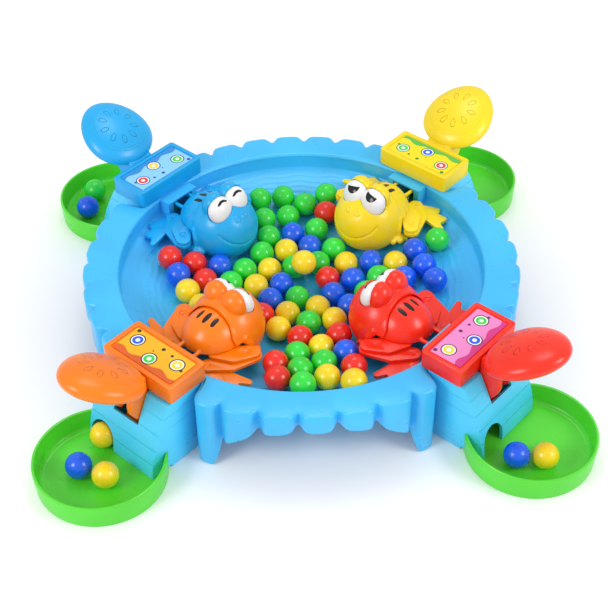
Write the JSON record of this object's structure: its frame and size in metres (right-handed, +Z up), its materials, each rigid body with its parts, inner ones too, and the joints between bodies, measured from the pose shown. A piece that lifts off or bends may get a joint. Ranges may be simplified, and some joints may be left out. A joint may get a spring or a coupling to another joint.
{
  "type": "frog marble grabbing game",
  "caption": "Round dished marble arena with a lobed rim and lever-driven frogs on folding legs that lunge over marbles and send them down chutes into round trays.",
  "frame": {"origin": "middle of the arena on the table", "axes": "+Z up; the players' levers lie on the diagonals between X and Y; -Y faces the picture's viewer"},
  "size_m": [0.3102, 0.3102, 0.0811],
  "materials": {
    "arena_blue": "injection moulded, glossy",
    "housing_cyan": "injection moulded, glossy",
    "tray_green": "injection moulded, glossy",
    "yellow": "injection moulded, glossy",
    "blue": "injection moulded, glossy",
    "orange": "injection moulded, glossy",
    "red": "injection moulded, glossy",
    "spring_steel": "bright drawn wire",
    "eye_white": "injection moulded, glossy",
    "marble_red": "injection moulded, glossy",
    "marble_green": "injection moulded, glossy",
    "marble_blue": "injection moulded, glossy",
    "marble_yellow": "injection moulded, glossy"
  },
  "bodies": {
    "base": {"arena": "arena_blue", "housing_yellow": "housing_cyan", "tray_yellow": "tray_green", "plaque_yellow": "yellow", "housing_blue": "housing_cyan", "tray_blue": "tray_green", "plaque_blue": "blue", "housing_orange": "housing_cyan", "tray_orange": "tray_green", "plaque_orange": "orange", "housing_red": "housing_cyan", "tray_red": "tray_green", "plaque_red": "red", "marble_red_1": "marble_red", "marble_green_2": "marble_green", "marble_blue_3": "marble_blue", "marble_yellow_4": "marble_yellow", "marble_red_5": "marble_red", "marble_blue_6": "marble_blue", "marble_yellow_7": "marble_yellow", "marble_blue_8": "marble_blue", "marble_yellow_9": "marble_yellow", "marble_green_10": "marble_green", "marble_blue_11": "marble_blue"},
    "lever_yellow": {"lever_yellow": "yellow", "spring_yellow": "spring_steel"},
    "frog_yellow": {"frog_body_yellow": "yellow"},
    "head_yellow": {"frog_head_yellow": "yellow", "frog_eyes_yellow": "eye_white"},
    "lower_leg_left_yellow": {"lower_leg_left_yellow": "yellow"},
    "thigh_left_yellow": {"thigh_left_yellow": "yellow"},
    "lower_leg_right_yellow": {"lower_leg_right_yellow": "yellow"},
    "thigh_right_yellow": {"thigh_right_yellow": "yellow"},
    "lever_blue": {"lever_blue": "blue", "spring_blue": "spring_steel"},
    "frog_blue": {"frog_body_blue": "blue"},
    "head_blue": {"frog_head_blue": "blue", "frog_eyes_blue": "eye_white"},
    "lower_leg_left_blue": {"lower_leg_left_blue": "blue"},
    "thigh_left_blue": {"thigh_left_blue": "blue"},
    "lower_leg_right_blue": {"lower_leg_right_blue": "blue"},
    "thigh_right_blue": {"thigh_right_blue": "blue"},
    "lever_orange": {"lever_orange": "orange", "spring_orange": "spring_steel"},
    "frog_orange": {"frog_body_orange": "orange"},
    "head_orange": {"frog_head_orange": "orange", "frog_eyes_orange": "eye_white"},
    "lower_leg_left_orange": {"lower_leg_left_orange": "orange"},
    "thigh_left_orange": {"thigh_left_orange": "orange"},
    "lower_leg_right_orange": {"lower_leg_right_orange": "orange"},
    "thigh_right_orange": {"thigh_right_orange": "orange"},
    "lever_red": {"lever_red": "red", "spring_red": "spring_steel"},
    "frog_red": {"frog_body_red": "red"},
    "head_red": {"frog_head_red": "red", "frog_eyes_red": "eye_white"},
    "lower_leg_left_red": {"lower_leg_left_red": "red"},
    "thigh_left_red": {"thigh_left_red": "red"},
    "lower_leg_right_red": {"lower_leg_right_red": "red"},
    "thigh_right_red": {"thigh_right_red": "red"}
  },
  "joints": [
    {"name": "lever_yellow_press", "type": "hinge", "parent": "base", "child": "lever_yellow", "pos_m": [0.09475, 0.09475, 0.042], "axis": [-0.7071, 0.7071, 0], "range_deg": [0, 38], "stiffness_Nm_per_rad": 0.03, "springref_deg": -28.65},
    {"name": "frog_yellow_lunge", "type": "slide", "parent": "base", "child": "frog_yellow", "axis": [-0.7071, -0.7071, 0], "range_m": [0, 0.01693]},
    {"name": "head_yellow_lift", "type": "hinge", "parent": "frog_yellow", "child": "head_yellow", "pos_m": [0.05303, 0.05303, 0.046], "axis": [-0.7071, 0.7071, 0], "range_deg": [0, 18]},
    {"name": "ankle_left_yellow", "type": "hinge", "parent": "base", "child": "lower_leg_left_yellow", "pos_m": [0.07708, 0.05728, 0.0375], "axis": [0, 0, 1], "range_deg": [0, 4.5]},
    {"name": "hip_left_yellow", "type": "hinge", "parent": "frog_yellow", "child": "thigh_left_yellow", "pos_m": [0.06647, 0.05233, 0.0398], "axis": [0, 0, 1], "range_deg": [0, 61.5]},
    {"name": "ankle_right_yellow", "type": "hinge", "parent": "base", "child": "lower_leg_right_yellow", "pos_m": [0.05728, 0.07708, 0.0375], "axis": [0, 0, 1], "range_deg": [-4.5, 0]},
    {"name": "hip_right_yellow", "type": "hinge", "parent": "frog_yellow", "child": "thigh_right_yellow", "pos_m": [0.05233, 0.06647, 0.0398], "axis": [0, 0, 1], "range_deg": [-61.5, 0]},
    {"name": "lever_blue_press", "type": "hinge", "parent": "base", "child": "lever_blue", "pos_m": [-0.09475, 0.09475, 0.042], "axis": [-0.7071, -0.7071, 0], "range_deg": [0, 38], "stiffness_Nm_per_rad": 0.03, "springref_deg": -28.65},
    {"name": "frog_blue_lunge", "type": "slide", "parent": "base", "child": "frog_blue", "axis": [0.7071, -0.7071, 0], "range_m": [0, 0.01693]},
    {"name": "head_blue_lift", "type": "hinge", "parent": "frog_blue", "child": "head_blue", "pos_m": [-0.05303, 0.05303, 0.046], "axis": [-0.7071, -0.7071, 0], "range_deg": [0, 18]},
    {"name": "ankle_left_blue", "type": "hinge", "parent": "base", "child": "lower_leg_left_blue", "pos_m": [-0.05728, 0.07708, 0.0375], "axis": [0, 0, 1], "range_deg": [0, 4.5]},
    {"name": "hip_left_blue", "type": "hinge", "parent": "frog_blue", "child": "thigh_left_blue", "pos_m": [-0.05233, 0.06647, 0.0398], "axis": [0, 0, 1], "range_deg": [0, 61.5]},
    {"name": "ankle_right_blue", "type": "hinge", "parent": "base", "child": "lower_leg_right_blue", "pos_m": [-0.07708, 0.05728, 0.0375], "axis": [0, 0, 1], "range_deg": [-4.5, 0]},
    {"name": "hip_right_blue", "type": "hinge", "parent": "frog_blue", "child": "thigh_right_blue", "pos_m": [-0.06647, 0.05233, 0.0398], "axis": [0, 0, 1], "range_deg": [-61.5, 0]},
    {"name": "lever_orange_press", "type": "hinge", "parent": "base", "child": "lever_orange", "pos_m": [-0.09475, -0.09475, 0.042], "axis": [0.7071, -0.7071, 0], "range_deg": [0, 38], "stiffness_Nm_per_rad": 0.03, "springref_deg": -28.65},
    {"name": "frog_orange_lunge", "type": "slide", "parent": "base", "child": "frog_orange", "axis": [0.7071, 0.7071, 0], "range_m": [0, 0.01693]},
    {"name": "head_orange_lift", "type": "hinge", "parent": "frog_orange", "child": "head_orange", "pos_m": [-0.05303, -0.05303, 0.046], "axis": [0.7071, -0.7071, 0], "range_deg": [0, 18]},
    {"name": "ankle_left_orange", "type": "hinge", "parent": "base", "child": "lower_leg_left_orange", "pos_m": [-0.07708, -0.05728, 0.0375], "axis": [0, 0, 1], "range_deg": [0, 4.5]},
    {"name": "hip_left_orange", "type": "hinge", "parent": "frog_orange", "child": "thigh_left_orange", "pos_m": [-0.06647, -0.05233, 0.0398], "axis": [0, 0, 1], "range_deg": [0, 61.5]},
    {"name": "ankle_right_orange", "type": "hinge", "parent": "base", "child": "lower_leg_right_orange", "pos_m": [-0.05728, -0.07708, 0.0375], "axis": [0, 0, 1], "range_deg": [-4.5, 0]},
    {"name": "hip_right_orange", "type": "hinge", "parent": "frog_orange", "child": "thigh_right_orange", "pos_m": [-0.05233, -0.06647, 0.0398], "axis": [0, 0, 1], "range_deg": [-61.5, 0]},
    {"name": "lever_red_press", "type": "hinge", "parent": "base", "child": "lever_red", "pos_m": [0.09475, -0.09475, 0.042], "axis": [0.7071, 0.7071, 0], "range_deg": [0, 38], "stiffness_Nm_per_rad": 0.03, "springref_deg": -28.65},
    {"name": "frog_red_lunge", "type": "slide", "parent": "base", "child": "frog_red", "axis": [-0.7071, 0.7071, 0], "range_m": [0, 0.01693]},
    {"name": "head_red_lift", "type": "hinge", "parent": "frog_red", "child": "head_red", "pos_m": [0.05303, -0.05303, 0.046], "axis": [0.7071, 0.7071, 0], "range_deg": [0, 18]},
    {"name": "ankle_left_red", "type": "hinge", "parent": "base", "child": "lower_leg_left_red", "pos_m": [0.05728, -0.07708, 0.0375], "axis": [0, 0, 1], "range_deg": [0, 4.5]},
    {"name": "hip_left_red", "type": "hinge", "parent": "frog_red", "child": "thigh_left_red", "pos_m": [0.05233, -0.06647, 0.0398], "axis": [0, 0, 1], "range_deg": [0, 61.5]},
    {"name": "ankle_right_red", "type": "hinge", "parent": "base", "child": "lower_leg_right_red", "pos_m": [0.07708, -0.05728, 0.0375], "axis": [0, 0, 1], "range_deg": [-4.5, 0]},
    {"name": "hip_right_red", "type": "hinge", "parent": "frog_red", "child": "thigh_right_red", "pos_m": [0.06647, -0.05233, 0.0398], "axis": [0, 0, 1], "range_deg": [-61.5, 0]}
  ],
  "couplings": [
    {"joint": "frog_yellow_lunge", "follows": "lever_yellow_press", "m_per_rad": 0.02552},
    {"joint": "ankle_left_yellow", "follows": "lever_yellow_press", "ratio": 0.11579},
    {"joint": "hip_left_yellow", "follows": "lever_yellow_press", "ratio": 1.6105},
    {"joint": "ankle_right_yellow", "follows": "lever_yellow_press", "ratio": -0.11579},
    {"joint": "hip_right_yellow", "follows": "lever_yellow_press", "ratio": -1.6105},
    {"joint": "frog_blue_lunge", "follows": "lever_blue_press", "m_per_rad": 0.02552},
    {"joint": "ankle_left_blue", "follows": "lever_blue_press", "ratio": 0.11579},
    {"joint": "hip_left_blue", "follows": "lever_blue_press", "ratio": 1.6105},
    {"joint": "ankle_right_blue", "follows": "lever_blue_press", "ratio": -0.11579},
    {"joint": "hip_right_blue", "follows": "lever_blue_press", "ratio": -1.6105},
    {"joint": "frog_orange_lunge", "follows": "lever_orange_press", "m_per_rad": 0.02552},
    {"joint": "ankle_left_orange", "follows": "lever_orange_press", "ratio": 0.11579},
    {"joint": "hip_left_orange", "follows": "lever_orange_press", "ratio": 1.6105},
    {"joint": "ankle_right_orange", "follows": "lever_orange_press", "ratio": -0.11579},
    {"joint": "hip_right_orange", "follows": "lever_orange_press", "ratio": -1.6105},
    {"joint": "frog_red_lunge", "follows": "lever_red_press", "m_per_rad": 0.02552},
    {"joint": "ankle_left_red", "follows": "lever_red_press", "ratio": 0.11579},
    {"joint": "hip_left_red", "follows": "lever_red_press", "ratio": 1.6105},
    {"joint": "ankle_right_red", "follows": "lever_red_press", "ratio": -0.11579},
    {"joint": "hip_right_red", "follows": "lever_red_press", "ratio": -1.6105}
  ]
}
